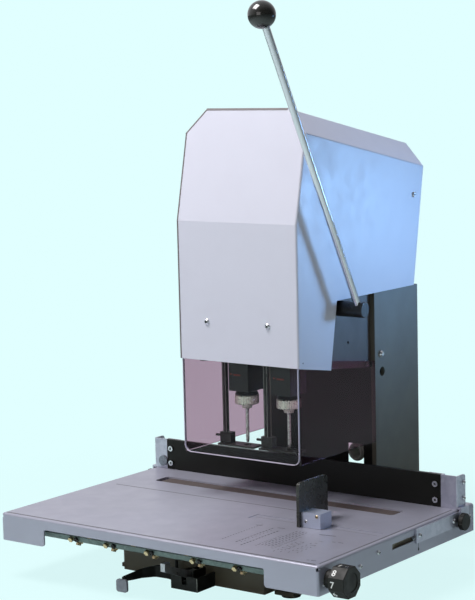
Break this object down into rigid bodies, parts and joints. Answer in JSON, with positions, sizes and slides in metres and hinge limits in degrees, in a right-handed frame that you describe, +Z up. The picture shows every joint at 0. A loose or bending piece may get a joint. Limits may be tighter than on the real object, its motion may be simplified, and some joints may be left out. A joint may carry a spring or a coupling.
{
  "type": "paper drill",
  "caption": "Table-top paper drill: hollow drills under a hooded head fed by a long side lever, with guards and a sliding table carrying a fence, a side stop and indexed stops.",
  "frame": {"origin": "on the desk plane under the pads, midway under the two drill axes", "axes": "+X to the operator's right, +Y to the back, +Z up"},
  "size_m": [0.6351, 0.602, 0.8579],
  "materials": {
    "olive_paint": "satin",
    "foot_rubber": "matt",
    "column_paint": "satin",
    "black_sheet": "satin",
    "pale_plastic": "satin",
    "taupe_plate": "satin",
    "bridge_steel": "satin",
    "ground_steel": "ground",
    "motor_iron": "painted",
    "turned_steel": "turned",
    "belt_rubber": "matt",
    "pulley_metal": "turned",
    "hood_paint": "fine textured",
    "clear_guard": "clear sheet",
    "smoked_guard": "smoked sheet",
    "bright_screws": "bright",
    "bearing_blocks": "cast",
    "black_plastic": "matt",
    "red_plastic": "gloss",
    "drawer_sheet": "satin",
    "table_paint": "fine textured",
    "strip_plastic": "matt",
    "galvanised": "galvanised",
    "brass": "bright",
    "black_paint": "satin",
    "gloss_black": "gloss",
    "zinc_block": "zinc plated",
    "black_block": "black anodised",
    "bearing_steel": "ground",
    "nickel": "nickel plated",
    "drill_steel": "ground",
    "post_steel": "blackened",
    "spring_steel": "oiled",
    "hub_black": "satin",
    "chrome": "polished",
    "ball_black": "gloss",
    "tip_grey": "satin"
  },
  "bodies": {
    "machine": {"base_frame": "olive_paint", "rubber_feet": "foot_rubber", "column_sides": "column_paint", "column_covers": "black_sheet", "chip_spout": "pale_plastic", "head_plates": "taupe_plate", "head_bridges": "bridge_steel", "guide_rods": "ground_steel", "motor_body": "motor_iron", "drive_belt": "belt_rubber", "hood_shell": "hood_paint", "hood_rear_cover": "hood_paint", "front_guard": "clear_guard", "side_guards": "smoked_guard", "panel_screws": "bright_screws", "rail_bearings": "bearing_blocks", "latch_bracket": "black_sheet", "electric_fittings": "black_plastic", "return_springs": "spring_steel"},
    "table": {"table_top": "table_paint", "cutting_strip": "strip_plastic", "strip_holder": "galvanised", "slide_rails": "ground_steel", "table_screws": "bright_screws"},
    "stop_shaft": {"stop_bar": "galvanised", "stop_screws": "brass", "index_knob": "black_plastic"},
    "fence": {"fence_plate": "black_paint", "fence_brackets": "galvanised", "fence_screws": "bright_screws"},
    "clamp_left": {"clamp_knob_left": "black_plastic"},
    "clamp_right": {"clamp_knob_right": "black_plastic"},
    "side_stop": {"side_stop_plate": "gloss_black", "side_stop_block": "zinc_block"},
    "head": {"head_carriage": "bridge_steel", "spindle_blocks": "black_block", "feed_rack": "turned_steel", "head_bearings": "bearing_steel"},
    "spindle_left": {"spindle_shaft_left": "ground_steel", "chuck_left": "nickel", "drill_bit_left": "drill_steel"},
    "spindle_right": {"spindle_shaft_right": "ground_steel", "chuck_right": "nickel", "drill_bit_right": "drill_steel"},
    "pulley_left": {"spindle_pulley_left": "pulley_metal"},
    "pulley_right": {"spindle_pulley_right": "pulley_metal"},
    "rotor": {"motor_rotor": "turned_steel"},
    "hold_down": {"hold_down_posts": "post_steel", "presser_feet": "post_steel", "hold_down_springs": "spring_steel"},
    "feed_lever": {"lever_shaft": "turned_steel", "lever_hub": "hub_black", "lever_rod": "chrome", "lever_knob": "ball_black", "feed_sector": "turned_steel"},
    "release_arm": {"release_lever": "black_paint", "lever_tip": "tip_grey"},
    "pawl": {"stop_pawl": "turned_steel"},
    "rocker": {"switch_rocker": "red_plastic"},
    "drawer": {"chip_drawer": "drawer_sheet"}
  },
  "joints": [
    {"name": "table_slide", "type": "slide", "parent": "machine", "child": "table", "axis": [1, 0, 0], "range_m": [-0.134, 0.116]},
    {"name": "stop_bar_turn", "type": "hinge", "parent": "table", "child": "stop_shaft", "pos_m": [0, -0.285, 0.08], "axis": [1, 0, 0], "continuous": true},
    {"name": "fence_slide", "type": "slide", "parent": "table", "child": "fence", "axis": [0, 1, 0], "range_m": [-0.048, 0]},
    {"name": "clamp_left_turn", "type": "hinge", "parent": "fence", "child": "clamp_left", "pos_m": [-0.29, 0.065, 0.0845], "axis": [-1, 0, 0], "range_deg": [0, 270]},
    {"name": "clamp_right_turn", "type": "hinge", "parent": "fence", "child": "clamp_right", "pos_m": [0.31, 0.065, 0.0845], "axis": [1, 0, 0], "range_deg": [0, 270]},
    {"name": "side_stop_slide", "type": "slide", "parent": "table", "child": "side_stop", "axis": [1, 0, 0], "range_m": [-0.075, 0.085]},
    {"name": "feed_lever_turn", "type": "hinge", "parent": "machine", "child": "feed_lever", "pos_m": [0.12, 0.047, 0.396], "axis": [1, 0, 0], "range_deg": [0, 86], "stiffness_Nm_per_rad": 4, "springref_deg": -91.67},
    {"name": "head_slide", "type": "slide", "parent": "machine", "child": "head", "axis": [0, 0, -1], "range_m": [0, 0.0811], "deforming": ["return_springs"]},
    {"name": "hold_down_slide", "type": "slide", "parent": "head", "child": "hold_down", "axis": [0, 0, 1], "range_m": [0, 0.0121], "deforming": ["hold_down_springs"]},
    {"name": "rotor_spin", "type": "hinge", "parent": "machine", "child": "rotor", "pos_m": [0, 0.18, 0.56], "axis": [0, 0, 1], "continuous": true},
    {"name": "pulley_left_spin", "type": "hinge", "parent": "machine", "child": "pulley_left", "pos_m": [-0.04, 0, 0.566], "axis": [0, 0, 1], "continuous": true},
    {"name": "pulley_right_spin", "type": "hinge", "parent": "machine", "child": "pulley_right", "pos_m": [0.04, 0, 0.566], "axis": [0, 0, 1], "continuous": true},
    {"name": "spindle_left_spin", "type": "hinge", "parent": "head", "child": "spindle_left", "pos_m": [-0.04, 0, 0.4], "axis": [0, 0, 1], "continuous": true},
    {"name": "spindle_right_spin", "type": "hinge", "parent": "head", "child": "spindle_right", "pos_m": [0.04, 0, 0.4], "axis": [0, 0, 1], "continuous": true},
    {"name": "release_lever_turn", "type": "hinge", "parent": "machine", "child": "release_arm", "pos_m": [0.0061, -0.214, 0.0153], "axis": [0, 0, 1], "range_deg": [0, 12], "stiffness_Nm_per_rad": 0.3, "springref_deg": -5.73},
    {"name": "stop_pawl_turn", "type": "hinge", "parent": "machine", "child": "pawl", "pos_m": [0.018, -0.222, 0.03], "axis": [1, 0, 0], "range_deg": [-7, 0]},
    {"name": "switch_rocker_turn", "type": "hinge", "parent": "machine", "child": "rocker", "pos_m": [-0.103, 0.2, 0.25], "axis": [0, 1, 0], "range_deg": [-12, 0]},
    {"name": "drawer_slide", "type": "slide", "parent": "machine", "child": "drawer", "axis": [0, 1, 0], "range_m": [0, 0.1]}
  ],
  "couplings": [
    {"joint": "head_slide", "follows": "feed_lever_turn", "m_per_rad": 0.054},
    {"joint": "hold_down_slide", "follows": "feed_lever_turn", "m_per_rad": 0.008},
    {"joint": "pulley_left_spin", "follows": "rotor_spin", "ratio": 1.5},
    {"joint": "pulley_right_spin", "follows": "rotor_spin", "ratio": 1.5},
    {"joint": "spindle_left_spin", "follows": "rotor_spin", "ratio": 1.5},
    {"joint": "spindle_right_spin", "follows": "rotor_spin", "ratio": 1.5},
    {"joint": "stop_pawl_turn", "follows": "release_lever_turn", "ratio": -0.57}
  ]
}
